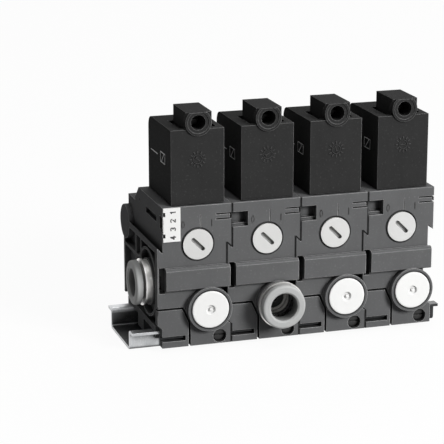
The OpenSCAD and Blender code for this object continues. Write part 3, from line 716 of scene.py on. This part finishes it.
class Finish(Enum):
    """The finishes of the block, each named after the pieces that wear it."""

    # The shade settings below paint shade into hollows, bores and gaps; the pale edge tones of the dark
    # plastics are partly wear and partly painted highlight.
    HOUSING = MouldedPlastic(
        "housing_plastic", (0.118, 0.119, 0.121), grey(0.6), 0.7, gloss=0.02, wear_highlight_share=0.9, shade_factor=0.12,
        shade_reach=3.8, shade_start=0.3, lines=GapShadeLines(),
    )
    COIL = MouldedPlastic(
        "coil_compound", grey(0.031), grey(0.26), 0.72, clouds=0.2, gloss=0.01, depth=0.016, wear_highlight_share=0.9,
    )
    # A darker copy of the housing plastic: painted shade on the raised 0 and 1.
    RELIEF = MouldedPlastic("shaded_relief_plastic", grey(0.05), grey(0.2), 0.66, gloss=0.05)
    # A lighter copy of the coil compound: painted highlight on the raised date clocks.
    CLOCK = MouldedPlastic("lit_clock_compound", grey(0.048), grey(0.1), 0.6, gloss=0.05)
    DISC = MouldedPlastic("override_plastic", (0.65, 0.65, 0.64), grey(0.76), 0.5, clouds=0.05, gloss=0.2)
    PLUG = MouldedPlastic(
        "plug_plastic", (0.85, 0.85, 0.84), grey(0.8), 0.5, clouds=0.03, gloss=0.2, shade_strength=0.97,
        shade_reach=1.2, shade_start=0.32, shade_factor=0.04,
    )
    COLLAR = MouldedPlastic(
        "collar_plastic", (0.45, 0.455, 0.45), grey(0.62), 0.5, clouds=0.06, gloss=0.1, shade_strength=0.93,
        shade_reach=14.0, shade_start=0.35,
    )
    MARKER = MouldedPlastic(
        "marker_plastic", (0.82, 0.82, 0.81), grey(0.88), 0.5, clouds=0.03, round_off=0.1,
    )
    NICKEL = PlatedMetal(
        "nickel_plate", (0.94, 0.93, 0.91), (0.76, 0.75, 0.73), 0.36, EVEN, streak_size=2.5, depth=0.001,
        patches=0.2, shade_strength=0.97, shade_reach=10.0, shade_start=0.24, own_walls=True, round_off=0.03,
    )
    ZINC = PlatedMetal(
        "zinc_plate", (0.66, 0.67, 0.68), (0.26, 0.27, 0.28), 0.32, (1.0, 8.0, 8.0), shade_strength=0.9, shade_reach=3.0,
        channel=ChannelShade(),
    )
    # Blackened steel, kept this dark also as painted shade of the deep holes that the screws sit in.
    SCREW = PlatedMetal("black_shaded_screw", grey(0.06), grey(0.02), 0.36, EVEN)
    # Steel darkened as painted shade deep inside the fittings' bores.
    GRIP = PlatedMetal("shaded_grip_steel", grey(0.12), grey(0.04), 0.3, EVEN, shade_strength=0.97, shade_reach=6.0)
    STEEL = TurnedMetal("turned_steel", (0.62, 0.62, 0.63), 0.28)
    BRASS = TurnedMetal("turned_brass", (0.78, 0.58, 0.28), 0.28)
    SPRING = TurnedMetal("spring_wire", (0.5, 0.5, 0.52), 0.3, pitch=0.5)
    RUBBER = SealRubber("seal_rubber")
    COPPER = WoundWire("wound_copper")
    BRONZE = SinteredBronze("sintered_bronze")
    BLACK_INK = Ink("black_ink", grey(0.02), grey(0.6))
    WHITE_INK = Ink("white_ink", grey(0.72), grey(0.06))


class Paint:
    """The materials, each built once, and the calls that put them on pieces."""

    def __init__(self, frame: dict[str, Any]) -> None:
        """Keep the frame's nodes and an empty store of materials."""
        self.nodes = frame["nodes"]
        self.made: dict[Finish, bpy.types.Material] = {}

    def material(self, finish: Finish) -> bpy.types.Material:
        """Return the material of a finish.

        Args:
            finish: The finish.

        Returns:
            Its material, built when it is first asked for.
        """
        if finish not in self.made:
            self.made[finish] = finish.value.build()
        return self.made[finish]

    def dress(self, node: str, finish: Finish) -> None:
        """Put a finish on a CAD node.

        Args:
            node: The node's name.
            finish: The finish.
        """
        for slot in self.nodes[node].material_slots:
            slot.material = self.material(finish)
        LOG.info("dressed %s as %s", node, finish.name)

    def piece(self, name: str, mesh: bmesh.types.BMesh, finish: Finish) -> bpy.types.Object:
        """Make a piece that rides on the block, from a mesh that is already in place.

        Args:
            name: The piece's name.
            mesh: Its mesh in the shared frame, in metres. It is freed.
            finish: The finish that it wears.

        Returns:
            The piece.
        """
        bmesh.ops.recalc_face_normals(mesh, faces=mesh.faces)
        data = bpy.data.meshes.new(name)
        mesh.to_mesh(data)
        mesh.free()
        data.materials.append(self.material(finish))
        thing = bpy.data.objects.new(name, data)
        bpy.context.collection.objects.link(thing)
        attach(thing, BLOCK)
        LOG.info("made %s with %d faces", name, len(data.polygons))
        return thing


def front_middle(node: str) -> Vector:
    """Return the middle of the front of a CAD node's box, in metres."""
    low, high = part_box(node)
    return Vector(((low[0] + high[0]) / 2, low[1], (low[2] + high[2]) / 2))


def turned(profile: Sequence[tuple[float, float]], place: Matrix, segments: int = 96) -> bmesh.types.BMesh:
    """Turn a profile round the local Z axis.

    Args:
        profile: Pairs of radius and height in millimetres, from one pole to the other.
        place: The turned piece's place in the shared frame.
        segments: The number of its sides.

    Returns:
        The mesh, in metres.
    """
    mesh = bmesh.new()
    rings = []
    for radius, height in profile:
        sides = segments if radius else 1
        angles = [2 * math.pi * i / sides for i in range(sides)]
        points = [Vector((radius * math.cos(a), radius * math.sin(a), height)) * MM for a in angles]
        rings.append([mesh.verts.new(place @ point) for point in points])
    for low, high in zip(rings, rings[1:]):
        for i in range(segments):
            j = i + 1
            loop = (low[i % len(low)], low[j % len(low)], high[j % len(high)], high[i % len(high)])
            mesh.faces.new(list(dict.fromkeys(loop)))
    return mesh


class Relief:
    """Thin raised shapes on a flat face: outlines, bars, bands and digits."""

    def __init__(self, origin: Vector, right: Vector, up: Vector, height: float) -> None:
        """Start a relief with nothing on it.

        Args:
            origin: The face's origin, in metres.
            right: The direction to the right on the face.
            up: The direction up on the face.
            height: How far the shapes are raised, in metres.
        """
        self.height = height
        self.mesh = bmesh.new()
        turn = Matrix((right, up, right.cross(up))).transposed().to_4x4()
        self.matrix = Matrix.Translation(origin) @ turn

    def outline(self, points: Sequence[tuple[float, float]]) -> None:
        """Raise a closed outline.

        Args:
            points: Its corners on the face, in millimetres.
        """
        out = (self.matrix.to_3x3() @ UP) * self.height
        foot = [self.matrix @ Vector((x * MM, y * MM, 0.0)) for x, y in points]
        low = [self.mesh.verts.new(place) for place in foot]
        high = [self.mesh.verts.new(place + out) for place in foot]
        self.mesh.faces.new(low)
        self.mesh.faces.new(high)
        for i, corner in enumerate(low):
            self.mesh.faces.new((low[i - 1], corner, high[i], high[i - 1]))

    def bar(self, x: float, y: float, length: float, width: float, turn: float = 0.0) -> None:
        """Raise a straight bar.

        Args:
            x: Its middle, in millimetres.
            y: Its middle, in millimetres.
            length: Its length before it is turned, to the right.
            width: Its width.
            turn: Its turn round its middle in degrees, anticlockwise.
        """
        c, s = math.cos(math.radians(turn)), math.sin(math.radians(turn))
        corners = [(-1, -1), (1, -1), (1, 1), (-1, 1)]
        half = [(sx * length / 2, sy * width / 2) for sx, sy in corners]
        self.outline([(x + u * c - v * s, y + u * s + v * c) for u, v in half])

    def arc(self, x: float, y: float, rx: float, ry: float, width: float, start: float, end: float) -> None:
        """Raise a band along part of an ellipse, in straight pieces of about 15 degrees.

        Args:
            x: Middle of the ellipse, in millimetres.
            y: Middle of the ellipse, in millimetres.
            rx: Half width of the band's middle line.
            ry: Half height of the band's middle line.
            width: Width of the band.
            start: First angle in degrees.
            end: Last angle in degrees.
        """
        steps = max(4, round(abs(end - start) / 15))
        angles = [math.radians(start + (end - start) * i / steps) for i in range(steps + 1)]
        for a, b in zip(angles, angles[1:]):
            quad = []
            for angle, side in ((a, -1), (b, -1), (b, 1), (a, 1)):
                reach = side * width / 2
                quad.append((x + (rx + reach) * math.cos(angle), y + (ry + reach) * math.sin(angle)))
            self.outline(quad)

    def digit(self, number: int, x: float, y: float, height: float, line: float, turn: float) -> None:
        """Raise a plain digit from 1 to 4.

        Args:
            number: The digit.
            x: Its middle, in millimetres.
            y: Its middle, in millimetres.
            height: Its height.
            line: The width of its strokes.
            turn: Its turn in degrees, anticlockwise.
        """
        sketch = Relief(Vector(), RIGHT, -FORWARD, self.height)
        half, wide = height / 2 - line / 2, height * 0.27
        if number == 1:
            sketch.bar(0, 0, line, height)
            sketch.bar(-wide * 0.45, half * 0.72, wide * 1.1, line, 40)
        elif number == 2:
            sketch.arc(0, half * 0.5, wide, half * 0.5, line, -20, 170)
            sketch.bar(-wide * 0.08, -half * 0.45, height * 0.62, line, 52)
            sketch.bar(0, -half, wide * 2.3, line)
        elif number == 3:
            sketch.arc(-wide * 0.1, half * 0.5, wide, half * 0.5, line, -90, 150)
            sketch.arc(-wide * 0.1, -half * 0.5, wide, half * 0.5, line, -150, 90)
        else:
            sketch.bar(wide * 0.35, 0, line, height)
            sketch.bar(0, -half * 0.4, wide * 2.5, line)
            sketch.bar(-wide * 0.3, half * 0.3, height * 0.72, line, 62)
        place = Matrix.Translation((x * MM, y * MM, 0)) @ Matrix.Rotation(math.radians(turn), 4, "Z")
        sketch.mesh.transform(self.matrix @ place)
        data = bpy.data.meshes.new("sketch")
        sketch.mesh.to_mesh(data)
        sketch.mesh.free()
        self.mesh.from_mesh(data)
        bpy.data.meshes.remove(data)


@dataclass
class OverrideNumbers:
    """The raised 0 and 1 above a module's override.

    Places are measured from the module's joint plane and the rail.
    """

    station: int
    hook_reach: float = 2.0
    boss_proud: float = 2.8
    up: float = 47.4
    zero_x: float = 7.7
    one_x: float = 18.3
    height: float = 2.5
    zero_rx: float = 0.5
    zero_line: float = 0.3
    one_line: float = 0.36
    proud: float = 0.15

    def dress(self, paint: Paint) -> None:
        """Emboss the numbers on the housing's front.

        Args:
            paint: The materials.
        """
        low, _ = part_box(f"body_{self.station}")
        origin = Vector((low[0] + self.hook_reach * MM, low[1] + self.boss_proud * MM, 0.0))
        relief = Relief(origin, RIGHT, UP, self.proud * MM)
        relief.arc(self.zero_x, self.up, self.zero_rx, self.height / 2, self.zero_line, 0, 360)
        relief.bar(self.one_x, self.up, self.one_line, self.height)
        # The numbers wear a darker plastic as painted shade.
        paint.piece(f"override_numbers_{self.station}", relief.mesh, Finish.RELIEF)


@dataclass
class DateClock:
    """The mould's date clock on a coil's front: a ring, twelve ticks and an arrow to the date."""

    station: int
    lug_boss: float = 0.6
    drop: float = 16.7
    radius: float = 3.1
    ring: float = 0.52
    ring_line: float = 0.2
    ticks: int = 12
    tick: float = 0.82
    tick_length: float = 1.0
    tick_width: float = 0.4
    shaft: float = 2.3
    shaft_width: float = 0.3
    barb: float = 0.8
    barb_width: float = 0.22
    barb_offset: float = 0.25
    barb_turn: float = 40.0
    first_aim: float = 60.0
    aim_step: float = 75.0
    proud: float = 0.2

    def dress(self, paint: Paint) -> None:
        """Emboss the clock under the coil's lug.

        Args:
            paint: The materials.
        """
        low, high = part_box(f"coil_{self.station}")
        centre = Vector(((low[0] + high[0]) / 2, low[1] + self.lug_boss * MM, high[2] - self.drop * MM))
        relief = Relief(centre, RIGHT, UP, self.proud * MM)
        relief.arc(0, 0, self.radius * self.ring, self.radius * self.ring, self.ring_line, 0, 360)
        reach = self.radius * self.tick
        for i in range(self.ticks):
            angle = 360.0 * i / self.ticks
            c, s = math.cos(math.radians(angle)), math.sin(math.radians(angle))
            relief.bar(reach * c, reach * s, self.tick_length, self.tick_width, angle)
        self._arrow(relief, self.first_aim + self.aim_step * self.station)
        # The clock wears a lighter compound as painted highlight.
        paint.piece(f"date_clock_{self.station}", relief.mesh, Finish.CLOCK)

    def _arrow(self, relief: Relief, aim: float) -> None:
        """Raise the arrow.

        Args:
            relief: The relief that it stands on.
            aim: Its direction in degrees, anticlockwise from the right.
        """
        c, s = math.cos(math.radians(aim)), math.sin(math.radians(aim))
        relief.bar(0, 0, self.shaft, self.shaft_width, aim)
        for side in (-1, 1):
            x = self.barb * c - side * self.barb_offset * s
            y = self.barb * s + side * self.barb_offset * c
            relief.bar(x, y, self.barb, self.barb_width, aim - side * self.barb_turn)


@dataclass
class CoilSign:
    """The plain sign of a coil, a box with a slanted stroke, and a rule, printed on a coil's left face.

    Places are measured from the face's back edge and its foot.
    """

    station: int
    across: float = 19.0
    up: float = 15.0
    width: float = 6.0
    height: float = 3.6
    inset: float = 0.1
    line: float = 0.28
    stroke: float = 4.6
    stroke_turn: float = 46.0
    rule_across: float = 8.0
    rule: float = 9.0
    rule_line: float = 0.3
    proud: float = 0.02

    def dress(self, paint: Paint) -> None:
        """Print the sign.

        Args:
            paint: The materials.
        """
        low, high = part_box(f"coil_{self.station}")
        relief = Relief(Vector((low[0], high[1], low[2])), FORWARD, UP, self.proud * MM)
        side = self.width / 2 - self.inset
        for rise in (-self.height / 2, self.height / 2):
            relief.bar(self.across, self.up + rise, self.width, self.line)
        for shift in (-side, side):
            relief.bar(self.across + shift, self.up, self.line, self.height)
        relief.bar(self.across, self.up, self.stroke, self.line, self.stroke_turn)
        relief.bar(self.rule_across, self.up, self.rule, self.rule_line)
        paint.piece(f"coil_sign_{self.station}", relief.mesh, Finish.WHITE_INK)


@dataclass
class ReturnSpring:
    """A coil spring in the place of its CAD node."""

    node: str
    joint: str
    stroke: float
    hangs: bool

    def dress(self, paint: Paint) -> None:
        """Copy the coil in the place of its CAD node and hide the node.

        Args:
            paint: The materials.
        """
        source = paint.nodes[self.node]
        mesh = bmesh.new()
        mesh.from_mesh(source.data)
        mesh.transform(source.matrix_world)
        spring = paint.piece(f"coiled_{self.node}", mesh, Finish.SPRING)
        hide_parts(self.node)
        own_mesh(spring)


@dataclass
class Module:
    """One valve module of the block, with its relief, its print and its springs."""

    station: int

    def dress(self, paint: Paint) -> None:
        """Give the module's CAD nodes their finishes and add its small pieces.

        Args:
            paint: The materials.
        """
        k = self.station
        for node, finish in (
            ("body", Finish.HOUSING), ("coil", Finish.COIL), ("override", Finish.DISC),
            ("armature", Finish.STEEL), ("armature_tube", Finish.STEEL), ("cartridge", Finish.BRASS),
            ("stem", Finish.STEEL), ("stem_seals", Finish.RUBBER),
        ):
            paint.dress(f"{node}_{k}", finish)
        OverrideNumbers(k).dress(paint)
        DateClock(k).dress(paint)
        CoilSign(k).dress(paint)
        ReturnSpring(f"armature_spring_{k}", f"armature_lift_{k}", ARMATURE_LIFT, hangs=True).dress(paint)
        ReturnSpring(f"stem_spring_{k}", f"stem_stroke_{k}", STEM_STROKE, hangs=False).dress(paint)


@dataclass
class PortPlug:
    """A blanking plug with a rounded rim, a dimple and a pip, in the place of its CAD node."""

    station: int
    rim_gap: float = 0.12
    dimple: float = 0.75

    def dress(self, paint: Paint) -> None:
        """Turn the plug from its face inwards.

        Args:
            paint: The materials.
        """
        node = f"port_plug_{self.station}"
        low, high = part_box(node)
        rim = (high[0] - low[0]) / 2 / MM - self.rim_gap
        depth = (high[1] - low[1]) / MM
        pip = [(0, 0.1), (0.4, 0.12), (0.58, 0.3), (0.64, self.dimple)]
        dimple = [(1.3, self.dimple), (1.5, self.dimple - 0.2), (1.62, 0.12), (1.8, 0)]
        edge = [(rim - 0.5, 0), (rim - 0.2, 0.06), (rim - 0.05, 0.2), (rim, 0.4)]
        place = Matrix.Translation(front_middle(node)) @ Matrix.Rotation(math.radians(-90.0), 4, "X")
        mesh = turned([*pip, *dimple, *edge, (rim, depth), (0, depth)], place)
        plug = paint.piece(f"blanking_plug_{self.station}", mesh, Finish.PLUG)
        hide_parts(node)


@dataclass
class Marker:
    """The clip-on marker of the first module, printed with the stations' numbers."""

    digit_height: float = 2.1
    digit_line: float = 0.42
    digit_turn: float = 90.0
    shift: float = 0.4
    pitch: float = 3.1
    proud: float = 0.02

    def dress(self, paint: Paint) -> None:
        """Give the plate its finish and print its digits, turned so that they read upwards.

        Args:
            paint: The materials.
        """
        paint.dress("marker_plate", Finish.MARKER)
        relief = Relief(front_middle("marker_plate"), RIGHT, UP, self.proud * MM)
        middle = (len(STATIONS) - 1) / 2
        for i, number in enumerate(reversed(STATIONS)):
            up = (i - middle) * self.pitch
            relief.digit(number, self.shift, up, self.digit_height, self.digit_line, self.digit_turn)
        paint.piece("marker_digits", relief.mesh, Finish.BLACK_INK)


@dataclass
class Fitting:
    """A push-in tube fitting: plated body, collet ring and plastic release collar."""

    port: Port

    def dress(self, paint: Paint) -> None:
        """Give the fitting's nodes their finishes.

        Args:
            paint: The materials.
        """
        paint.dress(f"{self.port.value}_fitting", Finish.NICKEL)
        # The collet ring wears steel darkened as painted shade in the bore.
        paint.dress(f"{self.port.value}_collet", Finish.GRIP)
        paint.dress(f"{self.port.value}_collar", Finish.COLLAR)


@dataclass
class Hardware:
    """The rail, the small pieces that the modules share and the exhaust gallery's round left end."""

    gallery_r: float = 3.15
    end_r: float = 6.5
    end_gap: float = 0.05
    end_proud: float = 0.1
    end_depth: float = 2.0

    def dress(self, paint: Paint) -> None:
        """Give each shared node its finish and close the gallery.

        Args:
            paint: The materials.
        """
        # The screws wear blackened steel, dark also as painted shade of their holes.
        for node, finish in (
            ("din_rail", Finish.ZINC), ("coil_screws", Finish.SCREW), ("clamp_screws", Finish.SCREW),
            ("rail_clamps", Finish.ZINC), ("windings", Finish.COPPER), ("coil_terminals", Finish.BRASS),
            ("body_seals", Finish.RUBBER), ("gallery_couplers", Finish.BRASS), ("end_plugs", Finish.HOUSING),
            ("exhaust_silencer", Finish.BRONZE),
        ):
            paint.dress(node, finish)
        self._gallery_end(paint)

    def _gallery_end(self, paint: Paint) -> None:
        """Close the exhaust gallery's left end with its round cap.

        Args:
            paint: The materials.
        """
        low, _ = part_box("end_plugs")
        outlet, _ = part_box("exhaust_silencer")
        _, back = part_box("body_1")
        height = outlet[2] + self.gallery_r * MM
        centre = Vector((low[0] - self.end_proud * MM, back[1] - self.end_r * MM, height))
        rim = self.end_r - self.end_gap
        edge = [(rim - 0.4, 0), (rim - 0.1, 0.12), (rim, 0.4)]
        place = Matrix.Translation(centre) @ Matrix.Rotation(math.radians(90.0), 4, "Y")
        mesh = turned([(0, 0), *edge, (rim, self.end_depth), (0, self.end_depth)], place)
        paint.piece("gallery_end", mesh, Finish.HOUSING)


@dataclass(frozen=True)
class Lamp:
    """A square soft lamp that looks at the block.

    Its azimuth is 0 in front of the block and positive to the right. Its height is an angle too, above the
    floor's plane. Both are in degrees, its distance, side and target in metres, and its power in watts.
    """

    name: str
    azimuth: float
    height: float
    distance: float
    side: float
    power: float
    target: Triple = (0.0, 0.0, 0.04)

    def hang(self) -> None:
        """Put the lamp in its place."""
        data = bpy.data.lights.new(self.name, "AREA")
        data.shape = "SQUARE"
        data.size = self.side
        data.energy = self.power
        lamp = bpy.data.objects.new(self.name, data)
        az, el = math.radians(self.azimuth), math.radians(self.height)
        away = Vector((math.sin(az) * math.cos(el), -math.cos(az) * math.cos(el), math.sin(el)))
        lamp.location = Vector(self.target) + away * self.distance
        lamp.rotation_euler = (-away).to_track_quat("-Z", "Y").to_euler()
        bpy.context.collection.objects.link(lamp)


@dataclass
class Studio:
    """Camera, floor and lamps of a plain pale studio.

    The focal length and the photo's side are in pixels, the sensor and the eye in millimetres, the angles in
    degrees, and the floor's half side and the far end of the view in metres.
    """

    focal_px: float = 1882.0
    photo_side: int = 444
    sensor: float = 36.0
    yaw: float = 17.48
    pitch: float = 15.38
    eye: Triple = (-220.55, -636.2, 224.7)
    view_end: float = 20.0
    floor_half: float = 6.0
    floor_level: float = 0.35
    shadow_level: float = 0.95
    glow_share: float = 0.94
    ambient: float = 0.07
    lamps: tuple[Lamp, ...] = (
        Lamp("key", 32.0, 22.0, 1.3, 0.42, 17.5),
        Lamp("top", 12.0, 74.0, 1.3, 0.9, 6.0),
        Lamp("back", 150.0, 35.0, 1.5, 0.6, 5.0),
    )

    def camera(self) -> None:
        """Place the camera as the photograph's was, to the left of the block and above it."""
        data = bpy.data.cameras.new("camera")
        data.sensor_width = self.sensor
        data.lens = self.focal_px / self.photo_side * self.sensor
        data.clip_end = self.view_end
        camera = bpy.data.objects.new("camera", data)
        camera.location = Vector(self.eye) * MM
        camera.rotation_euler = (math.radians(90.0 - self.pitch), 0.0, math.radians(-self.yaw))
        bpy.context.collection.objects.link(camera)
        bpy.context.scene.camera = camera

    def floor(self) -> None:
        """Lay a white floor that keeps the block's shadow and stays dim for scattered light."""
        mesh = bmesh.new()
        bmesh.ops.create_grid(mesh, x_segments=1, y_segments=1, size=self.floor_half)
        data = bpy.data.meshes.new("floor")
        mesh.to_mesh(data)
        mesh.free()
        shader = Shader.of_material("floor_white")
        white = shader.value("ShaderNodeEmission", inputs={"Color": grey(1.0), "Strength": 1.0})
        paper = shader.value("ShaderNodeBsdfDiffuse", inputs={"Color": grey(self.floor_level)})
        pale = shader.value("ShaderNodeBsdfDiffuse", inputs={"Color": grey(self.shadow_level)})
        lit = shader.value("ShaderNodeMixShader", inputs={0: self.glow_share, 1: pale, 2: white})
        surface = shader.value("ShaderNodeMixShader", inputs={0: shader.seen(), 1: paper, 2: lit})
        shader.add("ShaderNodeOutputMaterial", inputs={"Surface": surface})
        data.materials.append(shader.owner)
        floor = bpy.data.objects.new("floor", data)
        bpy.context.collection.objects.link(floor)

    def sky(self) -> None:
        """Make the world white where it is seen and dim where it lights."""
        world = bpy.data.worlds.new("studio")
        bpy.context.scene.world = world
        shader = Shader(world)
        strength = shader.seen() * (1.0 - self.ambient) + self.ambient
        sky = shader.value("ShaderNodeBackground", inputs={"Color": grey(1.0), "Strength": strength})
        shader.add("ShaderNodeOutputWorld", inputs={"Surface": sky})

    def build(self) -> None:
        """Set up the whole studio."""
        self.camera()
        self.floor()
        self.sky()
        for lamp in self.lamps:
            lamp.hang()
        bpy.context.scene.view_settings.view_transform = "Standard"


def main() -> None:
    """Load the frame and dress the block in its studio."""
    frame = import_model()
    paint = Paint(frame)
    Studio().build()
    for station in STATIONS:
        Module(station).dress(paint)
    for station in PLUGGED:
        PortPlug(station).dress(paint)
    Marker().dress(paint)
    for port in Port:
        Fitting(port).dress(paint)
    Hardware().dress(paint)


if __name__ == "__main__":
    logging.basicConfig(level=logging.INFO, format="%(message)s")
    main()
